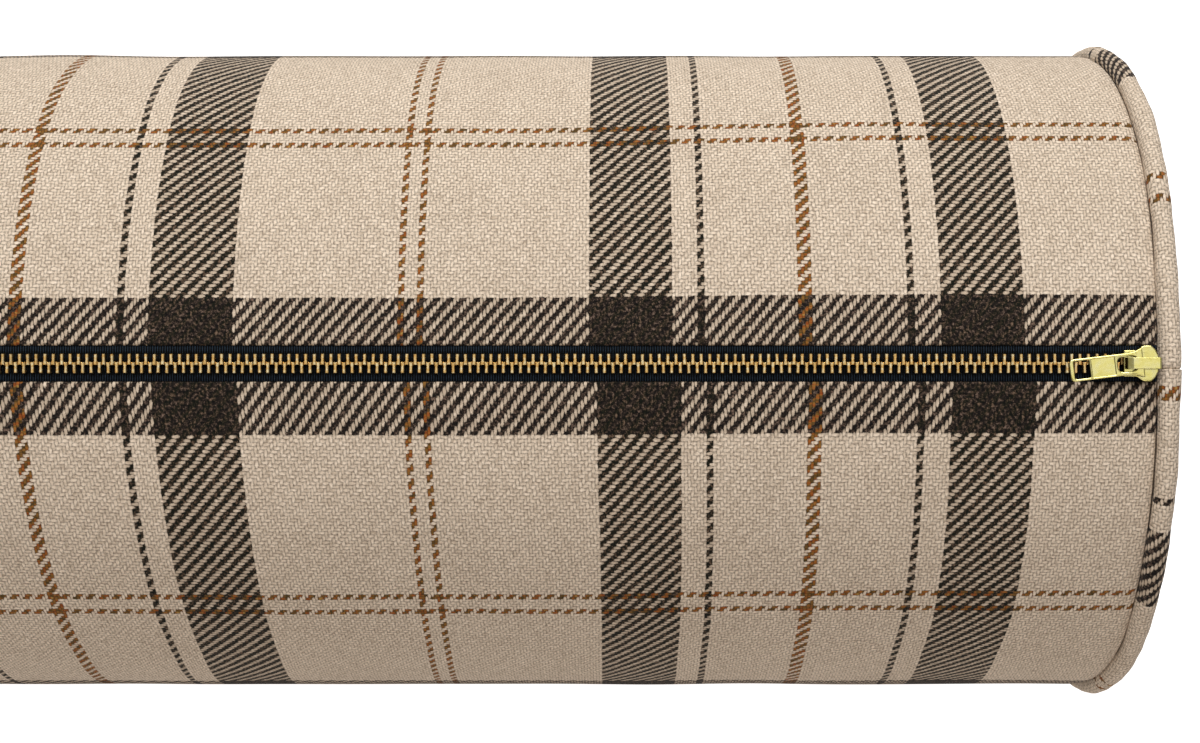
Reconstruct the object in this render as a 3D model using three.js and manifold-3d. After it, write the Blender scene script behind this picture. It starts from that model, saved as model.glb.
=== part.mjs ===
// Round bolster cushion: a filled body in plaid cloth, a round panel at each end with piping in its seam,
// and an exposed metal zip along the top, drawn shut to the right-hand end.
// Millimetres, +Z up. X runs along the bolster, and the origin is on the floor under its middle.
import * as THREE from "three";
import { mergeVertices } from "three/addons/utils/BufferGeometryUtils.js";
import Module from "manifold-3d";

const wasm = await Module();
wasm.setup();

// Driving sizes of the filled cover
const GAP = 0.3; // air between one piece and the next
const PAST = 5; // how far a cut runs past what it cuts
const SEGMENTS = 56; // facets round the bolster, one of them level at the top and one at the bottom
const BODY_RADIUS = 114.3; // 9 inches across
const SEAM_X = 305; // half of the 24 inches from seam to seam
const REST_SINK = 3.5; // how far the floor presses into the round body
const AXIS_Z = BODY_RADIUS - REST_SINK;
const CROWN = 14; // how far the fill domes each end past its seam
const CLOTH = 2; // thickness of an end panel
const PIPING_RING = 113.6; // radius of the cord's centre line round the axis
const PIPING_CORD = 3.9; // radius of the cord in its cloth
const PIPING_SIDES = 9;
const PIPING_SEAT = AXIS_Z - 3.3; // how far below the axis the cord's centre line can sink
const SEAT_EASE = 2; // rounds the ends of the seam's flat
const SETTLE_FROM = 262; // the body starts to lift towards the piping here
const SETTLE_TO = 300;

// Driving sizes of the zip. A level is a height above the bolster's axis.
const CHANNEL_HALF = 6.1; // half the gap between the cloth's two edges
const TAPE_BOTTOM = 112.2;
const TAPE_TOP = 113.2;
const TAPE_END = SEAM_X - PIPING_CORD - GAP;
const TOOTH_PITCH = 2.63;
const TOOTH_WIDTH = 1.2;
const TOOTH_REACH = 3; // from the zip's centre line to a tooth's outer end
const HEAD_REACH = 0.85; // width of the line of heads beside the centre line
const TOOTH_COUNT = 225;
const TEETH_START = -299.6;
const TEETH_BOTTOM = TAPE_TOP + GAP;
const TEETH_TOP = 115.6;

const SLIDER_NOSE = 300.4; // where the slider ends, against the piping
const SLIDER_LENGTH = 10.8;
const JOIN = 0.5; // how far the slider's bail and post run into its plates
const SPREAD_INSIDE = 3; // how far inside the slider the tapes start to part
const POCKET_END = 303; // the slider's pocket in the body ends under the piping
const PLATE_BOTTOM = TEETH_TOP + GAP;
const PLATE_TOP = 117;
const LOWER_PLATE_TOP = TAPE_BOTTOM - GAP;
const LOWER_PLATE_BOTTOM = 110.9;
const POST_BACK = 3.4; // the post between the plates, measured back from the nose
const POST_FRONT = 1.4;
const POST_HALF = 0.7;
const BAIL_HALF = 1.8;
const BAIL_CEILING = 119.2; // underside of the bail's bridge
const BAIL_TOP = 120.1;

const PULLER_THICK = 1.1;
const PULLER_PIVOT_X = 292.7;
const PULLER_LEVEL = 117.54; // underside of the puller at its pivot
const PULLER_TURN = 6.9; // degrees, free end towards -Y
const PULLER_DIP = 4.5; // degrees, free end down
const PANEL_DEPTH = 0.3;

// The body's outline beside a seam, from the straight part to the seam itself.
const SHOULDER = [
  { x: 276, r: BODY_RADIUS },
  { x: 287, r: 114.2 },
  { x: 294, r: 113.9 },
  { x: 298.2, r: 113.2 },
  { x: 300.4, r: 112.2 },
  { x: 301, r: 111 },
  { x: 302.4, r: 110 },
];
const SEAM_INSET = 0.5; // the body stops this far short of the seam's plane
const SEAM_RADIUS = 108.7;
const DOME_STEPS = [1, 0.86, 0.62, 0.32, 0]; // share of the seam's radius at each ring of the dome

// Half of the slider's outline, from its rear mouth to its nose, and of the tunnel inside it.
const SLIDER_OUTLINE = [
  { back: 10.8, half: 4.15 },
  { back: 7.6, half: 4.15 },
  { back: 6.2, half: 4.5 },
  { back: 4.8, half: 5.5 },
  { back: 4.2, half: 5.65 },
  { back: 2.2, half: 5.65 },
  { back: 1.1, half: 5 },
  { back: 0, half: 2.6 },
];
const TUNNEL_OUTLINE = [
  { back: 11.4, half: 3.3 },
  { back: 7.6, half: 3.3 },
  { back: 4.6, half: 4.75 },
  { back: -0.6, half: 4.75 },
];
// The bail seen from the side, round its outside and back along its inside.
const BAIL_OUTLINE = [
  { back: 10.5, level: PLATE_TOP - JOIN },
  { back: 10.5, level: 118.5 },
  { back: 9.7, level: 119.7 },
  { back: 8.7, level: BAIL_TOP },
  { back: 0.9, level: BAIL_TOP },
  { back: 0.2, level: 119.5 },
  { back: 0.1, level: PLATE_TOP - JOIN },
  { back: 1.1, level: PLATE_TOP - JOIN },
  { back: 1.1, level: BAIL_CEILING },
  { back: 9.2, level: BAIL_CEILING },
  { back: 9.5, level: 118.7 },
  { back: 9.5, level: PLATE_TOP - JOIN },
];
// Half of the puller's outline, along from its pivot, with its free end first.
const PULLER_OUTLINE = [
  { along: -20, half: 2.9 },
  { along: -19.8, half: 3.4 },
  { along: -19.2, half: 3.65 },
  { along: -6, half: 3.5 },
  { along: -1.5, half: 3.5 },
  { along: 0.6, half: 3.7 },
  { along: 2, half: 4.25 },
  { along: 2.8, half: 4.65 },
];
const PULLER_WINDOW = { from: -18.5, to: -13.7, half: 2.8 };
const PULLER_PANEL = { from: -13.2, to: -6, half: 2.8 };
const PULLER_SLOT = { from: -5.2, to: 0.9, half: 2.45 };

// Finishes
const CREAM_CLOTH = { color: 0xcdb9a1, roughness: 0.95, metalness: 0 };
const NAVY_TAPE = { color: 0x14181d, roughness: 0.85, metalness: 0 };
const GOLDEN_BRASS = { color: 0xc79a48, roughness: 0.35, metalness: 1 };
const PALE_BRASS = { color: 0xd6c673, roughness: 0.3, metalness: 1 };

// One outward-facing solid from a closed three.js geometry.
function solid(geometry) {
  geometry.deleteAttribute("normal");
  geometry.deleteAttribute("uv");
  const merged = mergeVertices(geometry, 1e-3);
  const index = merged.index.array;
  const kept = [];
  for (let i = 0; i < index.length; i += 3) {
    const [a, b, c] = index.slice(i, i + 3);
    if (a !== b && b !== c && c !== a) kept.push(a, b, c);
  }
  return new wasm.Manifold(
    new wasm.Mesh({
      numProp: 3,
      vertProperties: merged.attributes.position.array,
      triVerts: new Uint32Array(kept),
    }),
  );
}

// A named mesh from a solid, in one of the finishes.
function piece(name, made, finish) {
  const { vertProperties, triVerts } = made.getMesh();
  const geometry = new THREE.BufferGeometry();
  geometry.setAttribute("position", new THREE.BufferAttribute(vertProperties, 3));
  geometry.setIndex(new THREE.BufferAttribute(triVerts, 1));
  geometry.computeVertexNormals();
  const mesh = new THREE.Mesh(geometry, new THREE.MeshStandardMaterial(finish));
  mesh.name = name;
  return mesh;
}

// How the cover gives on the floor: each end seam sinks only until its cord rests, and nothing
// goes below the floor.
function settle(point) {
  const below = AXIS_Z - point.z;
  if (below > 0) {
    const radius = Math.hypot(point.y, below);
    const nearSeam = THREE.MathUtils.smoothstep(Math.abs(point.x), SETTLE_FROM, SETTLE_TO);
    const sunk = (PIPING_RING * below) / radius - PIPING_SEAT;
    const lift = (sunk + Math.hypot(sunk, SEAT_EASE)) / 2;
    point.z = Math.max(0, point.z + (nearSeam * lift * radius) / PIPING_RING);
  }
  return point;
}

// A profile of stations { x, r } turned round the bolster's axis and settled on the floor.
function turned(profile) {
  const outline = profile.map(({ x, r }) => new THREE.Vector2(r, x));
  const geometry = new THREE.LatheGeometry(outline, SEGMENTS, Math.PI / SEGMENTS);
  geometry.rotateZ(-Math.PI / 2).translate(0, 0, AXIS_Z);
  const position = geometry.attributes.position;
  const point = new THREE.Vector3();
  for (let i = 0; i < position.count; i += 1) {
    settle(point.fromBufferAttribute(position, i));
    position.setXYZ(i, point.x, point.y, point.z);
  }
  return solid(geometry);
}

// The same profile at the other end, in the order that keeps its faces pointing out.
function mirrored(profile) {
  return profile.map(({ x, r }) => ({ x: -x, r })).reverse();
}

// A flat outline in plan between two levels above the axis.
function plate(points, bottom, top) {
  const shape = new THREE.Shape(points.map(([x, y]) => new THREE.Vector2(x, y)));
  const geometry = new THREE.ExtrudeGeometry(shape, { depth: top - bottom, bevelEnabled: false });
  return solid(geometry.translate(0, 0, AXIS_Z + bottom));
}

// A box in plan, the same on both sides of the zip's centre line.
function block(from, to, half, bottom, top) {
  return plate([[from, -half], [to, -half], [to, half], [from, half]], bottom, top);
}

// Both sides of an outline that is given as half widths.
function bothSides(halves) {
  const far = halves.map(([x, half]) => [x, half]);
  const near = halves.map(([x, half]) => [x, -half]).reverse();
  return [...far, ...near];
}

// The dome that the fill pushes out at an end, a distance outside the fill itself.
function dome(offset) {
  return DOME_STEPS.map((share) => ({
    x: SEAM_X - SEAM_INSET + CROWN * (1 - share ** 3) + offset,
    r: SEAM_RADIUS * share,
  }));
}

function bolsterBody() {
  const rightHalf = [...SHOULDER, ...dome(0)];
  const filled = turned([...mirrored(rightHalf), ...rightHalf]);
  const past = SEAM_X + CROWN + PAST;
  const channel = block(-past, past, CHANNEL_HALF, LOWER_PLATE_TOP, BODY_RADIUS + PAST);
  const pocketFrom = SLIDER_NOSE - SLIDER_LENGTH - 2 * GAP;
  const pocketFloor = LOWER_PLATE_BOTTOM - GAP;
  const pocket = block(pocketFrom, POCKET_END, CHANNEL_HALF, pocketFloor, BODY_RADIUS);
  return filled.subtract(channel).subtract(pocket);
}

function endPanel() {
  return [...dome(GAP).reverse(), ...dome(GAP + CLOTH)];
}

function piping() {
  return Array.from({ length: PIPING_SIDES + 1 }, (_, i) => {
    const turn = (2 * Math.PI * (i % PIPING_SIDES)) / PIPING_SIDES;
    return {
      x: SEAM_X - PIPING_CORD * Math.cos(turn),
      r: PIPING_RING + PIPING_CORD * Math.sin(turn),
    };
  });
}

// One tape, whose inner edge spreads round the slider's post. Side is 1 towards +Y and -1 towards -Y.
function zipTape(side) {
  const inner = GAP / 2;
  const round = POST_HALF + GAP;
  const spreadFrom = SLIDER_NOSE - SLIDER_LENGTH + SPREAD_INSIDE;
  const spreadTo = SLIDER_NOSE - POST_BACK - GAP;
  const outline = [
    [-TAPE_END, inner],
    [spreadFrom, inner],
    [spreadTo, round],
    [TAPE_END, round],
    [TAPE_END, CHANNEL_HALF - GAP],
    [-TAPE_END, CHANNEL_HALF - GAP],
  ];
  return plate(outline.map(([x, y]) => [x, side * y]), TAPE_BOTTOM, TAPE_TOP);
}

// One row of teeth: a line of heads along the centre line, with a leg for each tooth.
function zipTeeth(side) {
  const first = TEETH_START + (side > 0 ? 0 : TOOTH_PITCH / 2);
  const last = first + (TOOTH_COUNT - 1) * TOOTH_PITCH;
  const outline = [
    [first - TOOTH_WIDTH / 2, GAP / 2],
    [last + TOOTH_WIDTH / 2, GAP / 2],
  ];
  for (let tooth = TOOTH_COUNT - 1; tooth >= 0; tooth -= 1) {
    const right = first + tooth * TOOTH_PITCH + TOOTH_WIDTH / 2;
    const left = right - TOOTH_WIDTH;
    if (tooth < TOOTH_COUNT - 1) outline.push([right, HEAD_REACH]);
    outline.push([right, TOOTH_REACH], [left, TOOTH_REACH]);
    if (tooth > 0) outline.push([left, HEAD_REACH]);
  }
  return plate(outline.map(([x, y]) => [x, side * y]), TEETH_BOTTOM, TEETH_TOP);
}

function zipSlider() {
  const fromNose = ({ back, half }) => [SLIDER_NOSE - back, half];
  const outline = bothSides(SLIDER_OUTLINE.map(fromNose));
  const tunnel = plate(bothSides(TUNNEL_OUTLINE.map(fromNose)), TAPE_BOTTOM, PLATE_BOTTOM);
  const upper = plate(outline, TEETH_BOTTOM, PLATE_TOP).subtract(tunnel);
  const lower = plate(outline, LOWER_PLATE_BOTTOM, LOWER_PLATE_TOP);
  const postFrom = SLIDER_NOSE - POST_BACK;
  const postTo = SLIDER_NOSE - POST_FRONT;
  const post = block(postFrom, postTo, POST_HALF, LOWER_PLATE_TOP - JOIN, PLATE_BOTTOM + JOIN);
  const side = new THREE.Shape(
    BAIL_OUTLINE.map(({ back, level }) => new THREE.Vector2(SLIDER_NOSE - back, level)),
  );
  const bail = new THREE.ExtrudeGeometry(side, { depth: 2 * BAIL_HALF, bevelEnabled: false });
  bail.rotateX(Math.PI / 2).translate(0, BAIL_HALF, AXIS_Z);
  return upper.add(lower).add(post).add(solid(bail));
}

// The puller lies flat in its own frame, with its pivot at the origin and its free end towards -X.
function zipPuller() {
  const cut = ({ from, to, half }, bottom) =>
    block(from, to, half, bottom - AXIS_Z, 2 * PULLER_THICK - AXIS_Z);
  const outline = bothSides(PULLER_OUTLINE.map(({ along, half }) => [along, half]));
  return plate(outline, -AXIS_Z, PULLER_THICK - AXIS_Z)
    .subtract(cut(PULLER_WINDOW, -PULLER_THICK))
    .subtract(cut(PULLER_SLOT, -PULLER_THICK))
    .subtract(cut(PULLER_PANEL, PULLER_THICK - PANEL_DEPTH));
}

const bolster = new THREE.Group();
bolster.add(
  piece("bolster_body", bolsterBody(), CREAM_CLOTH),
  piece("end_panel_right", turned(endPanel()), CREAM_CLOTH),
  piece("end_panel_left", turned(mirrored(endPanel())), CREAM_CLOTH),
  piece("piping_right", turned(piping()), CREAM_CLOTH),
  piece("piping_left", turned(mirrored(piping())), CREAM_CLOTH),
);

const zip = new THREE.Group();
for (const [name, side] of [["upper", 1], ["lower", -1]]) {
  zip.add(piece("zip_tape_" + name, zipTape(side), NAVY_TAPE));
  zip.add(piece("zip_teeth_" + name, zipTeeth(side), GOLDEN_BRASS));
}
zip.add(piece("zip_slider", zipSlider(), PALE_BRASS));

const hanging = new THREE.Group();
hanging.position.set(PULLER_PIVOT_X, 0, AXIS_Z + PULLER_LEVEL);
hanging.rotation.z = THREE.MathUtils.degToRad(PULLER_TURN);
const puller = piece("zip_puller", zipPuller(), PALE_BRASS);
puller.rotation.y = -THREE.MathUtils.degToRad(PULLER_DIP);
hanging.add(puller);
zip.add(hanging);
bolster.add(zip);

export default bolster;
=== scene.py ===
import math

import bmesh
import bpy
import numpy as np
from mathutils import Matrix, Vector


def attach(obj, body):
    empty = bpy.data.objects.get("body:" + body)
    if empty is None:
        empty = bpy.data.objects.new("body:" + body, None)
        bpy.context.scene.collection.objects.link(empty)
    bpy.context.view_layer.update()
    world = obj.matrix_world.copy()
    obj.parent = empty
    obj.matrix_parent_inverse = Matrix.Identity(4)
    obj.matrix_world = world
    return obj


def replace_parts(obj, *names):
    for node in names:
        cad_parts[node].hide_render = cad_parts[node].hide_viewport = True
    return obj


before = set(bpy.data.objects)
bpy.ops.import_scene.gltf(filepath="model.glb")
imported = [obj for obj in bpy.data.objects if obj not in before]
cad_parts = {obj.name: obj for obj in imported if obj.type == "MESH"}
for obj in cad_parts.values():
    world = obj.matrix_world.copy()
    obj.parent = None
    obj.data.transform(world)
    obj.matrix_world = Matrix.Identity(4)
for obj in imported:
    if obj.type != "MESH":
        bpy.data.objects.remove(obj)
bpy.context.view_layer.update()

# Camera
# The bolster lies on its back with its zip up, so the view of its face is the view from straight above.
# A longish lens stands over the half that the photo shows, turned a degree round the bolster's axis.
axis_height = 0.1108
camera_distance = 0.762
camera_along = 0.1298
camera_turn = math.radians(1.02)
lens_mm = 62.1
sensor_mm = 36.0
frame_shift = (-11 / 1200, -1.5 / 1200)


def added(name, data):
    """A new object in the scene."""
    made = bpy.data.objects.new(name, data)
    bpy.context.scene.collection.objects.link(made)
    return made


camera_data = bpy.data.cameras.new("photo_view")
camera_data.lens = lens_mm
camera_data.sensor_width = sensor_mm
camera_data.shift_x, camera_data.shift_y = frame_shift
camera = added("photo_view", camera_data)
camera.location = (
    camera_along,
    -camera_distance * math.sin(camera_turn),
    axis_height + camera_distance * math.cos(camera_turn),
)
camera.rotation_euler = (camera_turn, 0, 0)
bpy.context.scene.camera = camera
bpy.context.scene.view_settings.view_transform = "Standard"

# Studio
# A wide white table and three soft boxes. The main one shines from the top of the picture, so the cloth
# above the zip is lighter than that below it. A weak one fills the lower side, a long one hangs over the zip.
floor_half = 6.0
floor_white = (0.80, 0.80, 0.79, 1)
floor_glow = 0.75
sky_white = (1.0, 0.955, 0.93, 1)
sky_strength = 0.34
lit_point = Vector((0.2, 0, axis_height))
soft_boxes = [
    # name, stand, width, depth, watts, colour
    ("key_box", (0.1, 1.25, 1.35), 1.6, 1.0, 28.8, (1.0, 0.99, 1.0)),
    ("fill_box", (0.0, -1.5, 1.2), 1.8, 1.0, 8.6, (1.0, 0.90, 0.86)),
    ("top_box", (0.20, 0.06, 2.0), 1.9, 0.36, 1.75, (1.0, 0.99, 0.97)),
]


def place(tree, kind, links=(), **settings):
    """A node with its settings made and its inputs fed from (input, value or socket) pairs."""
    node = tree.nodes.new(kind)
    for name, value in settings.items():
        setattr(node, name, value)
    for key, value in links:
        if isinstance(value, bpy.types.NodeSocket):
            tree.links.new(value, node.inputs[key])
        else:
            node.inputs[key].default_value = value
    return node


def calc(tree, operation, *values):
    """A Math node's result, from numbers or sockets."""
    return place(tree, "ShaderNodeMath", enumerate(values), operation=operation).outputs[0]


def new_material(name):
    """A new material with its tree of nodes and its surface shader."""
    material = bpy.data.materials.new(name)
    material.use_nodes = True
    return material, material.node_tree, material.node_tree.nodes["Principled BSDF"]


floor_mesh = bpy.data.meshes.new("table_top")
floor_corners = [(x * floor_half, y * floor_half, 0) for x, y in ((-1, -1), (1, -1), (1, 1), (-1, 1))]
floor_mesh.from_pydata(floor_corners, [], [(0, 1, 2, 3)])
floor = added("table_top", floor_mesh)
floor_material, floor_tree, floor_shader = new_material("white table")
floor_shader.inputs["Base Color"].default_value = floor_white
floor_shader.inputs["Roughness"].default_value = 0.9
floor_shader.inputs["Emission Color"].default_value = (1, 1, 1, 1)
floor_seen = place(floor_tree, "ShaderNodeLightPath").outputs["Is Camera Ray"]
floor_lit = calc(floor_tree, "MULTIPLY", floor_seen, floor_glow)
floor_tree.links.new(floor_lit, floor_shader.inputs["Emission Strength"])
floor_mesh.materials.append(floor_material)

for name, stand, width, depth, watts, colour in soft_boxes:
    light = bpy.data.lights.new(name, "AREA")
    light.shape = "RECTANGLE"
    light.size = width
    light.size_y = depth
    light.energy = watts
    light.color = colour
    lamp = added(name, light)
    lamp.location = stand
    lamp.rotation_euler = (lit_point - Vector(stand)).to_track_quat("-Z", "Y").to_euler()

world = bpy.data.worlds.new("pale studio")
world.use_nodes = True
sky = world.node_tree.nodes["Background"]
sky.inputs["Color"].default_value = sky_white
sky.inputs["Strength"].default_value = sky_strength
bpy.context.scene.world = world


# Woven cloth
# Every cloth piece is cut from one brushed wool twill: each yarn passes over two and under two, stepping one
# to the right each row. The UV map counts threads, x the ends and y the picks, and one sett colours both.
sett = [
    # yarn, threads
    ("dark", 24),
    ("cream", 50),
    ("rust", 2),
    ("cream", 4),
    ("rust", 2),
    ("cream", 50),
    ("dark", 24),
    ("cream", 8),
    ("dark", 2),
    ("cream", 28),
    ("rust", 4),
    ("cream", 28),
    ("dark", 2),
    ("cream", 8),
]
sett_threads = sum(count for yarn, count in sett)
sett_codes = {"cream": (0, 0, 0, 1), "rust": (0, 1, 0, 1), "dark": (1, 0, 0, 1)}
cream_shades = [(0.0, (0.47, 0.375, 0.275, 1)), (0.5, (0.68, 0.565, 0.435, 1)), (1.0, (0.82, 0.70, 0.56, 1))]
rust_shades = [
    (0.12, (0.070, 0.046, 0.014, 1)),
    (0.38, (0.145, 0.072, 0.018, 1)),
    (0.50, (0.23, 0.112, 0.024, 1)),
    (0.60, (0.31, 0.096, 0.018, 1)),
    (0.72, (0.20, 0.046, 0.011, 1)),
    (0.90, (0.34, 0.20, 0.050, 1)),
]
dark_end_shades = [
    (0.0, (0.003, 0.004, 0.002, 1)),
    (0.42, (0.011, 0.011, 0.006, 1)),
    (0.62, (0.040, 0.027, 0.016, 1)),
    (0.9, (0.16, 0.105, 0.070, 1)),
]
dark_pick_shades = [
    (0.0, (0.004, 0.003, 0.003, 1)),
    (0.42, (0.0135, 0.0100, 0.0075, 1)),
    (0.62, (0.043, 0.029, 0.020, 1)),
    (0.9, (0.17, 0.115, 0.085, 1)),
]
weave_look = {"Unevenness": 0.75, "Lift": 0.34, "Roundness": 0.64, "Slant": 0.08, "Fuzz": 0.38}
weave_relief = 0.0003
yarn_back_power = 0.45
yarn_edge = 0.07
yarn_meeting = 0.12


def ramp(tree, factor, stops, interpolation="LINEAR"):
    """A colour ramp's colour, from (position, colour) stops."""
    node = place(tree, "ShaderNodeValToRGB", [("Fac", factor)])
    node.color_ramp.interpolation = interpolation
    elements = node.color_ramp.elements
    while len(elements) < len(stops):
        elements.new(1.0)
    for element, (position, colour) in zip(elements, stops):
        element.position = position
        element.color = colour
    return node.outputs["Color"]


def blend(tree, factor, first, second, kind="MIX"):
    """A colour mix."""
    links = [(0, factor), (6, first), (7, second)]
    return place(tree, "ShaderNodeMix", links, data_type="RGBA", blend_type=kind).outputs[2]


def noise(tree, vector, scale, detail=2.0, rough=0.5):
    """A noise value from 0 to 1 on a vector."""
    links = [("Vector", vector), ("Scale", scale), ("Detail", detail), ("Roughness", rough)]
    return place(tree, "ShaderNodeTexNoise", links).outputs["Fac"]


def drawn_out(tree, vector, scale):
    """A vector scaled along its three axes."""
    return place(tree, "ShaderNodeMapping", [("Vector", vector), ("Scale", scale)]).outputs[0]


def span(tree, value, low, high, first=0.0, last=1.0):
    """A value brought from low..high to first..last and held there."""
    links = [("Value", value), ("From Min", low), ("From Max", high), ("To Min", first), ("To Max", last)]
    return place(tree, "ShaderNodeMapRange", links).outputs[0]


def swing(tree, value, gain, onto):
    """A noise's swing about its middle, made larger and added on."""
    return calc(tree, "MULTIPLY_ADD", calc(tree, "SUBTRACT", value, 0.5), gain, onto)


def grey(tree, value):
    """The grey of one value."""
    return place(tree, "ShaderNodeCombineColor", [(0, value), (1, value), (2, value)]).outputs[0]


def emboss(tree, shader, height, strength, distance):
    """A relief on the shader's surface."""
    links = [("Height", height), ("Strength", strength), ("Distance", distance)]
    tree.links.new(place(tree, "ShaderNodeBump", links).outputs[0], shader.inputs["Normal"])


def make_twill_group():
    """The over and under of the twill: the yarn that shows, its height and where a point lies on it."""
    tree = bpy.data.node_groups.new("Two over two twill", "ShaderNodeTree")
    sockets = tree.interface
    sockets.new_socket("Threads", in_out="INPUT", socket_type="NodeSocketVector")
    for name in weave_look:
        sockets.new_socket(name, in_out="INPUT", socket_type="NodeSocketFloat")
    for name in ("End Up", "Height", "End", "Pick"):
        sockets.new_socket(name, in_out="OUTPUT", socket_type="NodeSocketFloat")
    sockets.new_socket("Strand", in_out="OUTPUT", socket_type="NodeSocketVector")
    given = tree.nodes.new("NodeGroupInput")
    result = tree.nodes.new("NodeGroupOutput")

    moved = given.outputs["Threads"]
    for scale, amount in ((0.45, "Unevenness"), (2.9, "Fuzz")):
        wobble = place(tree, "ShaderNodeTexNoise", [("Vector", given.outputs["Threads"]), ("Scale", scale)])
        centred = place(tree, "ShaderNodeVectorMath", [(0, wobble.outputs["Color"]), (1, (-0.5, -0.5, -0.5))])
        scaled = place(tree, "ShaderNodeVectorMath", [(0, centred.outputs[0])], operation="SCALE")
        tree.links.new(given.outputs[amount], scaled.inputs["Scale"])
        moved = place(tree, "ShaderNodeVectorMath", [(0, moved), (1, scaled.outputs[0])]).outputs[0]
    split = place(tree, "ShaderNodeSeparateXYZ", [(0, moved)])
    u, v = split.outputs["X"], split.outputs["Y"]
    end = calc(tree, "FLOOR", u)
    pick = calc(tree, "FLOOR", v)

    def yarn_height(across, own, along, centre):
        """Height of a yarn: its wave over and under, and its round back, which leans as it rises."""
        phase = calc(tree, "MULTIPLY", calc(tree, "SUBTRACT", along, centre), math.pi / 2)
        shift = calc(tree, "MULTIPLY", calc(tree, "SINE", phase), given.outputs["Slant"])
        side = calc(tree, "MULTIPLY_ADD", calc(tree, "SUBTRACT", across, own), 2.0, -1.0)
        side = calc(tree, "SUBTRACT", side, shift)
        bulge = calc(tree, "MAXIMUM", calc(tree, "SUBTRACT", 1.0, calc(tree, "MULTIPLY", side, side)), 0.0)
        back = calc(tree, "POWER", bulge, yarn_back_power)
        wave = calc(tree, "MULTIPLY", calc(tree, "COSINE", phase), given.outputs["Lift"])
        return calc(tree, "MULTIPLY_ADD", back, given.outputs["Roundness"], wave)

    end_height = yarn_height(u, end, v, end)
    pick_height = yarn_height(v, pick, u, calc(tree, "ADD", pick, 3.0))
    up = span(tree, calc(tree, "SUBTRACT", end_height, pick_height), -yarn_edge, yarn_edge)
    top = calc(tree, "SMOOTH_MAX", end_height, pick_height, yarn_meeting)
    on_end = place(tree, "ShaderNodeCombineXYZ", [("X", v), ("Y", end), ("Z", 0.0)]).outputs[0]
    on_pick = place(tree, "ShaderNodeCombineXYZ", [("X", u), ("Y", pick), ("Z", 50.0)]).outputs[0]
    strand = place(tree, "ShaderNodeMix", [(0, up), (4, on_pick), (5, on_end)], data_type="VECTOR").outputs[1]
    shown = {"End Up": up, "Height": top, "End": end, "Pick": pick, "Strand": strand}
    for name, socket in shown.items():
        tree.links.new(socket, result.inputs[name])
    return tree


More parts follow.
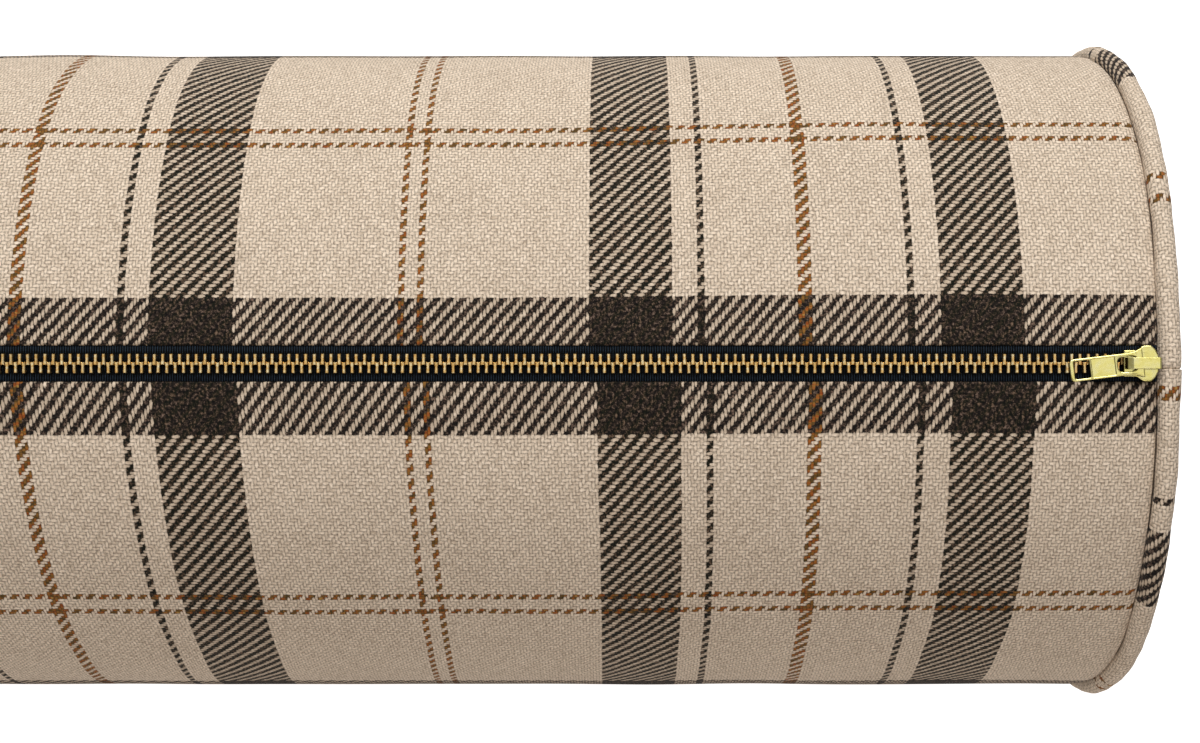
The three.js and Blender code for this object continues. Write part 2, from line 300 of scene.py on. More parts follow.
def make_cloth_material():
    """Brushed wool twill in cream with dark and rust yarns."""
    material, tree, shader = new_material("plaid wool twill")
    threads = place(tree, "ShaderNodeUVMap", uv_map="threads").outputs["UV"]
    weave = place(tree, "ShaderNodeGroup", node_tree=make_twill_group())
    tree.links.new(threads, weave.inputs["Threads"])
    for name, value in weave_look.items():
        weave.inputs[name].default_value = value
    strand = weave.outputs["Strand"]
    end_up = weave.outputs["End Up"]

    stops = []
    start = 0
    for yarn, count in sett:
        stops.append((start / sett_threads, sett_codes[yarn]))
        start += count

    def code(number):
        """The sett's code for a thread number, looked up near its end, as a ramp has only 256 steps."""
        share = calc(tree, "DIVIDE", calc(tree, "ADD", number, 0.96), float(sett_threads))
        return ramp(tree, calc(tree, "FRACT", share), stops, "CONSTANT")

    end_code = code(weave.outputs["End"])
    pick_code = code(weave.outputs["Pick"])
    seen = place(tree, "ShaderNodeSeparateColor", [(0, blend(tree, end_up, pick_code, end_code))])
    dark, rust = seen.outputs[0], seen.outputs[1]
    under = place(tree, "ShaderNodeSeparateColor", [(0, blend(tree, end_up, end_code, pick_code))])
    dark_under, rust_under = under.outputs[0], under.outputs[1]

    slub = noise(tree, drawn_out(tree, strand, (0.55, 7.3, 1.0)), 1.0, 2.0)
    marl = noise(tree, drawn_out(tree, strand, (0.62, 9.1, 1.0)), 1.35, 2.5, 0.6)
    fibre = noise(tree, threads, 4.5, 3.0, 0.7)
    fuzz = noise(tree, threads, 1.25, 3.0, 0.65)
    cloud = noise(tree, threads, 0.045, 3.0, 0.6)

    mixed = calc(tree, "MULTIPLY_ADD", fuzz, 1.6, calc(tree, "MULTIPLY", fibre, 0.6))
    mixed = calc(tree, "MULTIPLY_ADD", slub, 1.5, mixed)
    cloudy = calc(tree, "MULTIPLY_ADD", cloud, 0.24, -0.12)
    tone = calc(tree, "ADD", calc(tree, "SUBTRACT", mixed, 1.43), cloudy)
    tone = calc(tree, "SUBTRACT", tone, calc(tree, "MULTIPLY", dark_under, 0.42))
    cream = ramp(tree, tone, cream_shades)
    rusty = ramp(tree, swing(tree, marl, 2.3, 0.5), rust_shades)
    speckled = swing(tree, slub, 1.0, swing(tree, fuzz, 2.6, swing(tree, fibre, 1.6, 0.45)))
    dark_end = ramp(tree, speckled, dark_end_shades)
    dark_pick = ramp(tree, speckled, dark_pick_shades)
    darkened = blend(tree, end_up, dark_pick, dark_end)

    # In the gaps between the yarns the dark and rust yarns beneath show through, and shade is painted in: the
    # lower a point of yarn lies, the darker its colour.
    height = swing(tree, fuzz, 0.5, weave.outputs["Height"])
    gap = span(tree, height, 0.70, 0.48)
    not_rust = calc(tree, "SUBTRACT", 1.0, calc(tree, "MULTIPLY", rust, 0.8))
    shown_through = calc(tree, "MULTIPLY", calc(tree, "MULTIPLY", dark_under, gap), not_rust)
    dark_share = calc(tree, "MAXIMUM", dark, shown_through)
    rust_share = calc(tree, "MAXIMUM", rust, calc(tree, "MULTIPLY", rust_under, gap))
    yarn = blend(tree, dark_share, blend(tree, rust_share, cream, rusty), darkened)
    # Painted shade: the colour is multiplied down where the yarn lies low in the gaps, and lifted a little on
    # the yarns' tops.
    sunk = span(tree, height, 0.30, 0.88, 0.22, 1.08)
    tree.links.new(blend(tree, 1.0, yarn, grey(tree, sunk), "MULTIPLY"), shader.inputs["Base Color"])
    tree.links.new(span(tree, fuzz, 0.0, 1.0, 0.82, 0.98), shader.inputs["Roughness"])
    shader.inputs["Specular IOR Level"].default_value = 0.12
    shader.inputs["Sheen Weight"].default_value = 0.05
    shader.inputs["Sheen Roughness"].default_value = 0.5

    relief = calc(tree, "MULTIPLY_ADD", fibre, 0.3, height)
    relief = calc(tree, "MULTIPLY_ADD", fuzz, 0.25, relief)
    emboss(tree, shader, relief, 0.8, weave_relief)
    return material


cloth_material = make_cloth_material()


def skin(name, rings, threads, material, caps=True):
    """A closed mesh through rings of points, each a loop round the piece, with thread counts as its UV map.

    rings is [ring][point][xyz], threads is [ring][point + 1][end, pick]. With caps each end closes on a pole.
    """
    count, around = rings.shape[:2]
    points = rings.reshape(-1, 3)
    faces = []
    corners = []
    for ring in range(count - 1):
        near, far = ring * around, (ring + 1) * around
        here, beyond = threads[ring], threads[ring + 1]
        for step in range(around):
            after = (step + 1) % around
            faces.append((near + step, near + after, far + after, far + step))
            corners += [here[step], here[step + 1], beyond[step + 1], beyond[step]]
    if caps:
        points = np.vstack([points, rings[0].mean(axis=0), rings[-1].mean(axis=0)])
        for ring, pole in ((0, count * around), (count - 1, count * around + 1)):
            middle = threads[ring, :around].mean(axis=0)
            for step in range(around):
                first, second = (step + 1, step) if ring == 0 else (step, step + 1)
                faces.append((ring * around + first % around, ring * around + second % around, pole))
                corners += [threads[ring, first], threads[ring, second], middle]
    mesh = bpy.data.meshes.new(name)
    mesh.from_pydata(points.tolist(), [], faces)
    layer = mesh.uv_layers.new(name="threads")
    layer.data.foreach_set("uv", np.asarray(corners, dtype=np.float32).ravel())
    mesh.materials.append(material)
    mesh.shade_smooth()
    mesh.validate()
    return added(name, mesh)


# Body
# The filled tube: one panel of the twill wrapped round the fill, its two long edges turned under beside
# the zip and its ends drawn down into the piped seams. It lies on a small flat.
radius = 0.1143
seam_x = 0.305
seat_ring = 0.1136
seat_level = axis_height - 0.0033
seat_ease, floor_ease = 0.002, 0.0006
settle_from, settle_to = 0.262, 0.300
shoulder_from, shoulder_to, shoulder_drop = 0.2950, 0.3009, 0.0016
long_rings = 190
round_columns = 210

# Where the threads of the sett lie: the ends along the body beside the zip, and the picks on each side of it.
end_marks = [
    # thread, metres along
    (-42, -0.0594),
    (-38, -0.0554),
    (-10, -0.0255),
    (-8, -0.0231),
    (0, -0.0155),
    (24, 0.0110),
    (74, 0.0628),
    (82, 0.0708),
    (132, 0.1229),
    (156, 0.1491),
    (164, 0.1570),
    (166, 0.1592),
    (194, 0.1886),
    (198, 0.1930),
    (226, 0.2229),
    (228, 0.2251),
    (236, 0.2334),
    (260, 0.2594),
]
pick_marks = [
    # thread, metres of arc above the zip's centre line, metres of arc below it
    (12, 0.0061, 0.0061),
    (24, 0.0208, 0.0227),
    (74, 0.0764, 0.0814),
    (82, 0.0855, 0.0910),
    (132, 0.1485, 0.1475),
    (314, math.pi * radius, math.pi * radius),
]
# The wrap leans towards the slider's end: the picks there lie this much higher than at the other end.
lean_marks = [
    # metres of arc from the zip, metres of lean
    (-0.180, 0.0),
    (-0.085, 0.0020),
    (-0.023, 0.0007),
    (0.023, 0.0011),
    (0.085, 0.0034),
    (0.180, 0.0),
]
lean_from, lean_to = 0.09, 0.215
# Away from the zip the cloth is drawn in a little, towards a line round the body, and slipped along it.
drawn_line = 0.1298
drawn_marks = [
    # metres of arc from the zip, share drawn in, metres slipped towards the slider's end
    (-0.300, 0.0, 0.0),
    (-0.160, 0.036, 0.0012),
    (-0.115, 0.033, 0.0012),
    (-0.094, 0.023, 0.0013),
    (-0.056, 0.013, 0.0008),
    (-0.027, 0.007, 0.0001),
    (0.000, 0.0, 0.0),
    (0.100, 0.003, 0.0),
    (0.150, 0.010, 0.0004),
    (0.300, 0.0, 0.0),
]
# Below the zip the lines across the body lie this much further along it, and more so for each metre.
skew_base, skew_slope, skew_origin = 0.0007, 0.0100, -0.0587
picks_round = 628
cream_pitch = 0.00105


def end_number(along):
    """Thread number along the body, on past the marks at the usual pitch."""
    numbers, places = np.array(end_marks).T
    inside = np.interp(along, places, numbers)
    left = numbers[0] + (along - places[0]) / cream_pitch
    right = numbers[-1] + (along - places[-1]) / cream_pitch
    return np.where(along < places[0], left, np.where(along > places[-1], right, inside))


def pick_number(arc):
    """Thread number round the body, counted from the zip's upper edge round the back to its lower edge."""
    numbers, above, below = np.array(pick_marks).T
    side = []
    for places in (above, below):
        pitch = (places[1] - places[0]) / (numbers[1] - numbers[0])
        near = np.interp(np.abs(arc), places, numbers)
        side.append(np.where(np.abs(arc) < places[0], numbers[0] + (np.abs(arc) - places[0]) / pitch, near))
    return np.where(arc >= 0, side[0], picks_round - side[1])


def eased(value, start, stop):
    """A smooth step, from 0 up to the start to 1 past the stop."""
    share = np.clip((value - start) / (stop - start), 0, 1)
    return share * share * (3 - 2 * share)


def settle(points):
    """The give on the floor: the end seams sink until their cord rests, and nothing goes below the floor."""
    settled = points.copy()
    below = axis_height - points[..., 2]
    reach = np.maximum(np.hypot(points[..., 1], below), 1e-6)
    near_seam = eased(np.abs(points[..., 0]), settle_from, settle_to)
    sunk = seat_ring * below / reach - seat_level
    lift = (sunk + np.hypot(sunk, seat_ease)) / 2
    height = points[..., 2] + near_seam * lift * reach / seat_ring
    height = (height + np.hypot(height, floor_ease)) / 2
    settled[..., 2] = np.where(below > 0, height, points[..., 2])
    return settled


# The end seams bow a little: they are fed unevenly round the end.
bow_marks = [
    # degrees from the zip, up and round the back; metres outwards
    (0, 0.0),
    (14, 0.0005),
    (34, 0.0011),
    (48, 0.0008),
    (64, 0.0003),
    (80, -0.0010),
    (96, -0.0013),
    (180, 0.0),
    (262, -0.0022),
    (280, -0.0022),
    (290, -0.0007),
    (305, 0.0008),
    (317, 0.0004),
    (346, 0.0003),
    (360, 0.0),
]
bow_from = 0.24


def bowed(x, angle):
    """Places along the body moved by the end seams' bow."""
    bow_degrees, bows = np.array(bow_marks).T
    bow = np.sign(x) * np.interp(np.degrees(angle) % 360, bow_degrees, bows)
    return x + bow * eased(np.abs(x), bow_from, seam_x)


# Fold of the panel's edge beside the zip, from the channel's middle to the body's round.
fold = [
    # distance from the zip's centre line, level above the axis
    (0.0000, 0.1116),
    (0.0056, 0.1116),
    (0.0062, 0.1118),
    (0.0060, 0.1123),
    (0.0057, 0.1129),
    (0.0057, 0.1134),
    (0.0059, 0.1138),
    (0.0063, 0.11415),
    (0.0069, 0.1143),
    (0.0078, 0.1143),
]
fold_side, fold_level = np.array(fold).T
fold_from = fold_side[-1] / radius
rest = np.linspace(fold_from, 2 * math.pi - fold_from, round_columns)[1:-1]
half_fold = np.arctan2(fold_side, fold_level)
angles = np.concatenate([half_fold, rest, 2 * math.pi - half_fold[:0:-1]])
fold_reach = np.hypot(fold_side, fold_level)
unfolded = 1.0
levels = np.concatenate([fold_reach, np.full(len(rest), unfolded), fold_reach[:0:-1]])

straight = np.linspace(-shoulder_from, shoulder_from, long_rings)
turn = np.linspace(0, 1, 16)[1:] ** 0.6
shoulder_x = shoulder_from + (shoulder_to - shoulder_from) * turn
shoulder_r = radius - shoulder_drop * (1 - np.sqrt(np.maximum(0, 1 - turn**2)))
valley = [
    # place along, distance from the axis
    (0.3012, 0.1117),
    (0.3017, 0.1107),
    (0.3024, 0.1100),
    (0.3040, 0.1093),
]
dome_foot, crown, crown_radius = 0.3045, 0.014, 0.1087
dome_share = np.array([0.97, 0.86, 0.62, 0.32, 0.06])
dome_x = dome_foot + crown * (1 - dome_share**3)
end_x = np.concatenate([shoulder_x, [x for x, r in valley], dome_x])
end_r = np.concatenate([shoulder_r, [r for x, r in valley], crown_radius * dome_share])
station_x = np.concatenate([-end_x[::-1], straight, end_x])
station_r = np.concatenate([end_r[::-1], np.full(long_rings, radius), end_r])

x_grid, angle_grid = np.meshgrid(station_x, angles, indexing="ij")
x_grid = bowed(x_grid, angle_grid)
r_grid, level_grid = np.meshgrid(station_r, levels, indexing="ij")
r_grid = np.where(level_grid < unfolded, np.minimum(r_grid, level_grid), r_grid)

# The fill's slow unevenness, the puckers that die out from the end seams and the ripple beside the zip.
sway_waves, sway_height = 14, 0.0006
pucker_height, pucker_reach = 0.00035, 0.008
ripple_height, ripple_reach = 0.00018, 0.009
rng = np.random.default_rng(7)
sway = np.zeros_like(x_grid)
for wave in range(sway_waves):
    long_pitch = rng.uniform(0.05, 0.16)
    round_turns = rng.integers(1, 9)
    phase = rng.uniform(0, 6.28)
    sway += np.sin(2 * math.pi * x_grid / long_pitch + round_turns * angle_grid + phase) / sway_waves
from_seam = seam_x - np.abs(x_grid)
pucker = np.zeros_like(x_grid)
for turns, phase in ((47, 0.3), (61, 1.9), (83, 4.1)):
    pucker += np.sin(turns * angle_grid + phase + 2.2 * np.sign(x_grid)) / 3
from_zip = radius * np.minimum(angle_grid, 2 * math.pi - angle_grid)
ripple = np.sin(2 * math.pi * x_grid / 0.0137 + 1.3 * np.sin(x_grid * 31)) * np.sin(x_grid * 57 + 0.8)
unevenness = sway_height * sway
unevenness += pucker_height * pucker * np.exp(-from_seam / pucker_reach) * (from_seam > 0.002)
unevenness += ripple_height * ripple * np.exp(-from_zip / ripple_reach)
r_grid = r_grid + np.where(np.abs(x_grid) < 0.3010, unevenness, 0)

body_rings = np.stack([
    x_grid,
    r_grid * np.sin(angle_grid),
    axis_height + r_grid * np.cos(angle_grid),
], axis=-1)
body_rings = settle(body_rings)

arc = radius * np.where(angle_grid <= math.pi, angle_grid, angle_grid - 2 * math.pi)
arc = np.concatenate([arc, np.zeros((len(station_x), 1))], axis=1)
lower = np.concatenate([np.clip(angle_grid / (2 * math.pi), 0, 1), np.ones((len(station_x), 1))], axis=1)
along = np.concatenate([x_grid, x_grid[:, :1]], axis=1)
skew = (skew_base + skew_slope * (along - skew_origin)) * np.clip((lower - 0.3) / 0.4, 0, 1)
lean_arcs, leans = np.array(lean_marks).T
lean = np.interp(arc, lean_arcs, leans) * eased(along, lean_from, lean_to)
drawn_arcs, drawn_shares, slips = np.array(drawn_marks).T
drawn = np.interp(arc, drawn_arcs, slips) - np.interp(arc, drawn_arcs, drawn_shares) * (along - drawn_line)
body_threads = np.stack([end_number(along - skew - drawn), pick_number(arc - lean)], axis=-1)
body_threads[:, -1, 1] = picks_round

body = skin("body_panel", body_rings, body_threads, cloth_material)
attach(body, "root")
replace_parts(body, "bolster_body")


# End panels
# A round of the same twill at each end, domed by the fill and gathered a little into the piped seam.
panel_cloth, panel_lift, rim_tuck = 0.0019, 0.0023, 0.0009
rim_radius = 0.1100
panel_rings = 34
panel_columns = 160
panel_pitch = (0.00105, 0.00117)


def end_panel(name, side):
    """One domed disc as a closed sheet, its rim tucked against the piping. Side is 1 at the slider's end."""
    share = np.linspace(0.02, 1, panel_rings)
    rim = np.clip((share - 0.93) / 0.07, 0, 1)
    outer_r = rim_radius * share
    outer_x = dome_foot + panel_lift + crown * (1 - share**3) - rim_tuck * rim**2
    inner_r = outer_r[::-1] * 0.985
    inner_x = outer_x[::-1] - panel_cloth
    profile_r = np.concatenate([outer_r, inner_r])
    profile_x = np.concatenate([outer_x, inner_x])
    turns = np.linspace(0, 2 * math.pi, panel_columns + 1)[:-1]
    r, angle = np.meshgrid(profile_r, turns, indexing="ij")
    x = np.meshgrid(profile_x, turns, indexing="ij")[0]
    gather = np.sin(43 * angle + side) + 0.7 * np.sin(71 * angle + 2 * side)
    x = x + 0.00028 * gather * np.clip(r / rim_radius, 0, 1) ** 8 * np.clip((rim_radius - r) / 0.004, 0, 1)
    x = x + bowed(seam_x, side * angle) - seam_x
    points = np.stack([side * x, side * r * np.sin(angle), axis_height + r * np.cos(angle)], axis=-1)
    points = settle(points)
    wrapped = np.concatenate([points, points[:, :1]], axis=1)
    threads = np.stack([
        12 + side * wrapped[..., 1] / panel_pitch[0],
        314 + (wrapped[..., 2] - axis_height) / panel_pitch[1],
    ], axis=-1)
    piece = skin(name, points[::-1], threads[::-1], cloth_material)
    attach(piece, "root")
    return piece


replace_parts(end_panel("end_disc_right", 1), "end_panel_right")
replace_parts(end_panel("end_disc_left", -1), "end_panel_left")


# Piping
# A strip of the twill folded round a cord and sewn into each end seam. Its ends meet in a small lap
# beside the zip, where the plaid on it jumps.
cord_radius = 0.0035
cord_height = 1.114
ring_radius = 0.1136
piping_x = 0.3045
piping_steps = 420
piping_sides = 22
strip_pitch = 0.00111
piping_lap = math.radians(-0.9)
lap_swell, lap_swell_reach = 0.00022, 0.006
lap_notch, lap_notch_reach = 0.00045, 0.0005
lap_steps = [0.0012, 0.0026, 0.0045, 0.0075, 0.0110]
strip_marks = [
    # degrees from the zip, up and round the back; thread along the strip
    (-0.9, 26),
    (26.2, 74),
    (31.8, 82),
    (56.6, 132),
    (73.2, 156),
    (76.0, 164),
    (318.0, 604),
    (332.8, 628),
    (338.1, 637),
    (355.4, 668),
    (359.1, 674.5),
]


def piping_path(side):
    """One piping ring. Angles run from the zip towards the top of the picture."""
    even = np.linspace(0, 2 * math.pi, piping_steps + 1)[:-1]
    angle = np.sort(np.concatenate([even, 2 * math.pi - np.array(lap_steps), lap_steps])) + piping_lap
    turn = np.linspace(0, 2 * math.pi, piping_sides + 1)[:-1]
    a, t = np.meshgrid(angle, turn, indexing="ij")
    bulge = 0.00012 * np.sin(9 * a + side) + 0.0001 * np.sin(23 * a + 2 * side) + 0.00006 * np.sin(57 * a)
    from_lap = (a - piping_lap) * ring_radius
    to_lap = (2 * math.pi - (a - piping_lap)) * ring_radius
    lap = lap_swell * np.exp(-((to_lap / lap_swell_reach) ** 2))
    lap = lap - lap_notch * np.exp(-((from_lap / lap_notch_reach) ** 2))
    wander = 0.00015 * np.sin(5 * a + 3 * side) + 0.0001 * np.sin(17 * a + side)
    thick = cord_radius + bulge + lap
    x = bowed(seam_x, a) - seam_x + piping_x + wander - thick * np.cos(t)
    r = ring_radius + thick * cord_height * np.sin(t)
    points = np.stack([side * x, r * np.sin(a), axis_height + r * np.cos(a)], axis=-1)
    points = settle(points)
    rise = np.degrees(np.concatenate([a, a[:, :1]], axis=1))
    wrapped = np.concatenate([t, np.full((len(angle), 1), 2 * math.pi)], axis=1)
    mark_angles, mark_threads = np.array(strip_marks).T
    across = 38 + wrapped * cord_radius / strip_pitch
    threads = np.stack([across, np.interp(rise, mark_angles, mark_threads)], axis=-1)
    if side < 0:
        points, threads = points[:, ::-1], threads[:, ::-1]
    return points, threads


def closed_ring(name, points, threads):
    """A tube that closes on itself, with a jump in its thread count where the strip's two ends meet."""
    last = threads[-1] + (threads[-1] - threads[-2])
    rings = np.concatenate([points, points[:1]])
    counts = np.concatenate([threads, last[None]])
    piece = skin(name, rings, counts, cloth_material, caps=False)
    tool = bmesh.new()
    tool.from_mesh(piece.data)
    bmesh.ops.remove_doubles(tool, verts=tool.verts, dist=1e-7)
    bmesh.ops.recalc_face_normals(tool, faces=tool.faces)
    tool.to_mesh(piece.data)
    tool.free()
    return piece


for side, word in ((1, "right"), (-1, "left")):
    ring = closed_ring("piping_cord_" + word, *piping_path(side))
    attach(ring, "root")
    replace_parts(ring, "piping_" + word)


# Zip tapes
# Two woven black tapes with fine ribs across, sewn behind the panel's turned edges. The inner edge of each is
# a raised cord that the teeth are clamped on, and the two part inside the slider, round its post.
tape_ends = 0.3008
tape_steps = 600
tape_outer = 0.0058
tape_parting = [
    # place along, distance of the inner edge from the zip's centre line
    (-tape_ends, 0.00015),
    (0.2926, 0.00015),
    (0.2967, 0.0010),
    (tape_ends, 0.0010),
]
rib_pitch, warp_pitch = 0.00078, 0.00055
tape_section = [
    # share of the way from the inner to the outer edge, level above the axis
    (0.00, 0.1126),
    (0.03, 0.11325),
    (0.09, 0.11375),
    (0.18, 0.11400),
    (0.30, 0.11400),
    (0.40, 0.11370),
    (0.46, 0.11325),
    (0.50, 0.11312),
    (0.55, 0.11330),
    (0.75, 0.11334),
    (0.95, 0.11330),
    (1.00, 0.1128),
    (0.97, 0.1123),
    (0.50, 0.1122),
    (0.03, 0.1122),
]


def make_tape_material():
    """Navy-black polyester tape: ribs across it, a fine warp and a dull shine, with shade painted in under
    the teeth.
    """
    material, tree, shader = new_material("ribbed zip tape")
    spot = place(tree, "ShaderNodeTexCoord").outputs["Object"]
    parts = place(tree, "ShaderNodeSeparateXYZ", [(0, spot)])
    rib = calc(tree, "SINE", calc(tree, "MULTIPLY", parts.outputs["X"], 2 * math.pi / rib_pitch))
    warp = calc(tree, "SINE", calc(tree, "MULTIPLY", parts.outputs["Y"], 2 * math.pi / warp_pitch))
    thread = noise(tree, drawn_out(tree, spot, (1, 0.35, 1)), 2600.0, 2.0, 0.6)
    speck = noise(tree, spot, 4200.0, 1.0)
    ridges = calc(tree, "MULTIPLY_ADD", warp, 0.10, calc(tree, "MULTIPLY", rib, 0.62))
    rough = calc(tree, "MULTIPLY_ADD", thread, 1.2, calc(tree, "MULTIPLY", speck, 0.5))
    lift = calc(tree, "ADD", ridges, rough)
    stops = [
        (0.3, (0.0001, 0.0002, 0.0003, 1)),
        (0.66, (0.0005, 0.0011, 0.0017, 1)),
        (1.0, (0.018, 0.031, 0.048, 1)),
    ]
    # Painted shade: near the centre line, under and between the teeth, the tape's colour is darkened.
    off_centre = calc(tree, "ABSOLUTE", parts.outputs["Y"])
    painted_teeth_shade = span(tree, off_centre, 0.0031, 0.0041, 0.5, 0.68)
    tree.links.new(ramp(tree, calc(tree, "MULTIPLY", lift, painted_teeth_shade), stops), shader.inputs["Base Color"])
    tree.links.new(span(tree, thread, 0.0, 1.0, 0.62, 0.85), shader.inputs["Roughness"])
    shader.inputs["Specular IOR Level"].default_value = 0.10
    emboss(tree, shader, lift, 0.8, 0.00012)
    return material


tape_material = make_tape_material()


def zip_tape(name, side):
    """One tape as a closed strip. Side is 1 towards the top of the picture."""
    x = np.linspace(-tape_ends, tape_ends, tape_steps)
    inner = np.interp(x, *np.array(tape_parting).T)
    share, level = np.array(tape_section).T
    y = inner[:, None] + share[None, :] * (tape_outer - inner[:, None])
    y = y + np.where(share > 0.9, 1, 0)[None, :] * 0.00006 * np.sin(x * 210)[:, None]
    z = np.repeat(level[None, :], len(x), axis=0) + 0.00003 * np.sin(x * 470 + side)[:, None]
    points = np.stack([np.repeat(x[:, None], len(share), axis=1), side * y, axis_height + z], axis=-1)
    threads = np.zeros((len(x), len(share) + 1, 2))
    if side > 0:
        points = points[:, ::-1]
    piece = skin(name, points, threads, tape_material)
    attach(piece, "root")
    return piece


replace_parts(zip_tape("ribbed_tape_upper", 1), "zip_tape_upper")
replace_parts(zip_tape("ribbed_tape_lower", -1), "zip_tape_lower")


# Zip teeth
# Golden brass teeth clamped on the tapes' cords: a rounded leg across the tape and a wider head that fits
# between the heads of the other row.
tooth_pitch = 0.00263
tooth_count = 225
tooth_tilt = 0.03
teeth_start = -0.2996
tooth_floor, tooth_height = 0.1135, 0.0021
tooth_outline = [
    # distance from the zip's centre line, half width
    (-0.00048, 0.00042),
    (-0.00036, 0.00062),
    (0.00030, 0.00066),
    (0.00060, 0.00062),
    (0.00080, 0.00050),
    (0.00285, 0.00056),
    (0.00306, 0.00048),
]


def make_brass_material(name, tones, roughness, grain, painted_side_shade):
    """Polished brass with small stains, fine scratches and softly varied tone, with shade painted darker down
    its sides.
    """
    material, tree, shader = new_material(name)
    spot = place(tree, "ShaderNodeTexCoord").outputs["Object"]
    patchy = noise(tree, spot, grain, 3.0, 0.6)
    scratch = noise(tree, drawn_out(tree, spot, (0.12, 1, 1)), grain * 9, 2.0, 0.7)
    tone = calc(tree, "MULTIPLY_ADD", patchy, 0.8, calc(tree, "MULTIPLY", scratch, 0.25))
    # Painted shade: the less a face points up, the darker its colour, standing in for the dark that the sides
    # reflect.
    normal = place(tree, "ShaderNodeNewGeometry").outputs["Normal"]
    upward = place(tree, "ShaderNodeSeparateXYZ", [(0, normal)]).outputs["Z"]
    sides = grey(tree, span(tree, upward, 0.45, 0.95, painted_side_shade, 1.0))
    colour = blend(tree, 1.0, ramp(tree, tone, tones), sides, "MULTIPLY")
    tree.links.new(colour, shader.inputs["Base Color"])
    shader.inputs["Metallic"].default_value = 1.0
    tree.links.new(span(tree, patchy, 0.3, 0.7, *roughness), shader.inputs["Roughness"])
    emboss(tree, shader, scratch, 0.1, 0.00002)
    return material


golden = make_brass_material(
    "golden tooth brass",
    [(0.3, (0.46, 0.23, 0.06, 1)), (0.5, (0.76, 0.50, 0.18, 1)), (0.68, (1.0, 0.88, 0.55, 1))],
    (0.20, 0.32),
    900.0,
    # painted shade on the teeth's sides
    0.9,
)


def tooth_mesh():
    """One tooth at the origin, reaching towards +Y, in a few dozen faces with its top edges rounded."""
    y, half_width = np.array(tooth_outline).T
    loop = np.concatenate([np.stack([half_width, y], axis=1), np.stack([-half_width, y], axis=1)[::-1]])
    middle = np.array([0.0, 0.00125])
    layers = [(1.0, 0), (1.0, tooth_height - 0.0005), (0.86, tooth_height - 0.00018), (0.52, tooth_height)]
    points = []
    for share, level in layers:
        inset = middle + (loop - middle) * [share, 1 - (1 - share) * 0.2]
        points += [(px, py, level) for px, py in inset]
    around = len(loop)
    faces = [tuple(range(around))[::-1]]
    for layer in range(len(layers) - 1):
        for step in range(around):
            after = (step + 1) % around
            low, high = layer * around, (layer + 1) * around
            faces.append((low + step, low + after, high + after, high + step))
    last = (len(layers) - 1) * around
    faces.append(tuple(last + step for step in range(around)))
    mesh = bpy.data.meshes.new("one_tooth")
    mesh.from_pydata(points, [], faces)
    mesh.shade_smooth()
    mesh.set_sharp_from_angle(angle=math.radians(25))
    return mesh


def make_row_tree():
    """A row of copies of one object along X, each turned and tilted a little by chance."""
    tree = bpy.data.node_groups.new("Row of teeth", "GeometryNodeTree")
    sockets = tree.interface
    for name, kind in (
        ("Geometry", "NodeSocketGeometry"),
        ("Tooth", "NodeSocketObject"),
        ("Count", "NodeSocketInt"),
        ("Pitch", "NodeSocketFloat"),
        ("Start", "NodeSocketVector"),
        ("Half Turn", "NodeSocketFloat"),
        ("Finish", "NodeSocketMaterial"),
    ):
        sockets.new_socket(name, in_out="INPUT", socket_type=kind)
    sockets.new_socket("Geometry", in_out="OUTPUT", socket_type="NodeSocketGeometry")
    given = tree.nodes.new("NodeGroupInput").outputs
    result = tree.nodes.new("NodeGroupOutput")
    step = place(tree, "ShaderNodeCombineXYZ", [("X", given["Pitch"])]).outputs[0]
    steps = [("Count", given["Count"]), ("Start Location", given["Start"]), ("Offset", step)]
    line = place(tree, "GeometryNodeMeshLine", steps, mode="OFFSET").outputs["Mesh"]
    tooth = place(tree, "GeometryNodeObjectInfo", [("Object", given["Tooth"])]).outputs["Geometry"]
    tilts = [("Min", (-tooth_tilt,) * 3), ("Max", (tooth_tilt,) * 3), ("Seed", 5)]
    chance = place(tree, "FunctionNodeRandomValue", tilts, data_type="FLOAT_VECTOR").outputs[0]
    turn = place(tree, "ShaderNodeCombineXYZ", [("Z", given["Half Turn"])]).outputs[0]
    both = place(tree, "ShaderNodeVectorMath", [(0, chance), (1, turn)]).outputs[0]
    seats = [("Points", line), ("Instance", tooth), ("Rotation", both)]
    copies = place(tree, "GeometryNodeInstanceOnPoints", seats).outputs[0]
    real = place(tree, "GeometryNodeRealizeInstances", [(0, copies)]).outputs[0]
    finish = place(tree, "GeometryNodeSetMaterial", [("Geometry", real), ("Material", given["Finish"])])
    tree.links.new(finish.outputs[0], result.inputs[0])
    return tree


def applied(thing):
    """The mesh that an object shows, with its modifiers or its curve settings applied."""
    graph = bpy.context.evaluated_depsgraph_get()
    return bpy.data.meshes.new_from_object(thing.evaluated_get(graph))


def grown(name, tree, values):
    """The mesh that a Geometry Nodes tree makes with these input values, as a new object."""
    holder = added(name, bpy.data.meshes.new(name))
    modifier = holder.modifiers.new("nodes", "NODES")
    modifier.node_group = tree
    for socket in tree.interface.items_tree:
        if socket.in_out == "INPUT" and socket.name in values:
            modifier[socket.identifier] = values[socket.name]
    mesh = applied(holder)
    mesh.name = name
    bpy.data.objects.remove(holder)
    return added(name, mesh)


tooth_rows = [
    # name, start along the bolster, half turn
    ("upper", teeth_start, 0.0),
    ("lower", teeth_start + tooth_pitch / 2, math.pi),
]
pattern = added("one_tooth", tooth_mesh())
row_tree = make_row_tree()
for word, start, half_turn in tooth_rows:
    row = grown("tooth_row_" + word, row_tree, {
        "Tooth": pattern,
        "Count": tooth_count,
        "Pitch": tooth_pitch,
        "Start": (start, 0.0, axis_height + tooth_floor),
        "Half Turn": half_turn,
        "Finish": golden,
    })
    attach(row, "root")
    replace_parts(row, "zip_teeth_" + word)
bpy.data.objects.remove(pattern)


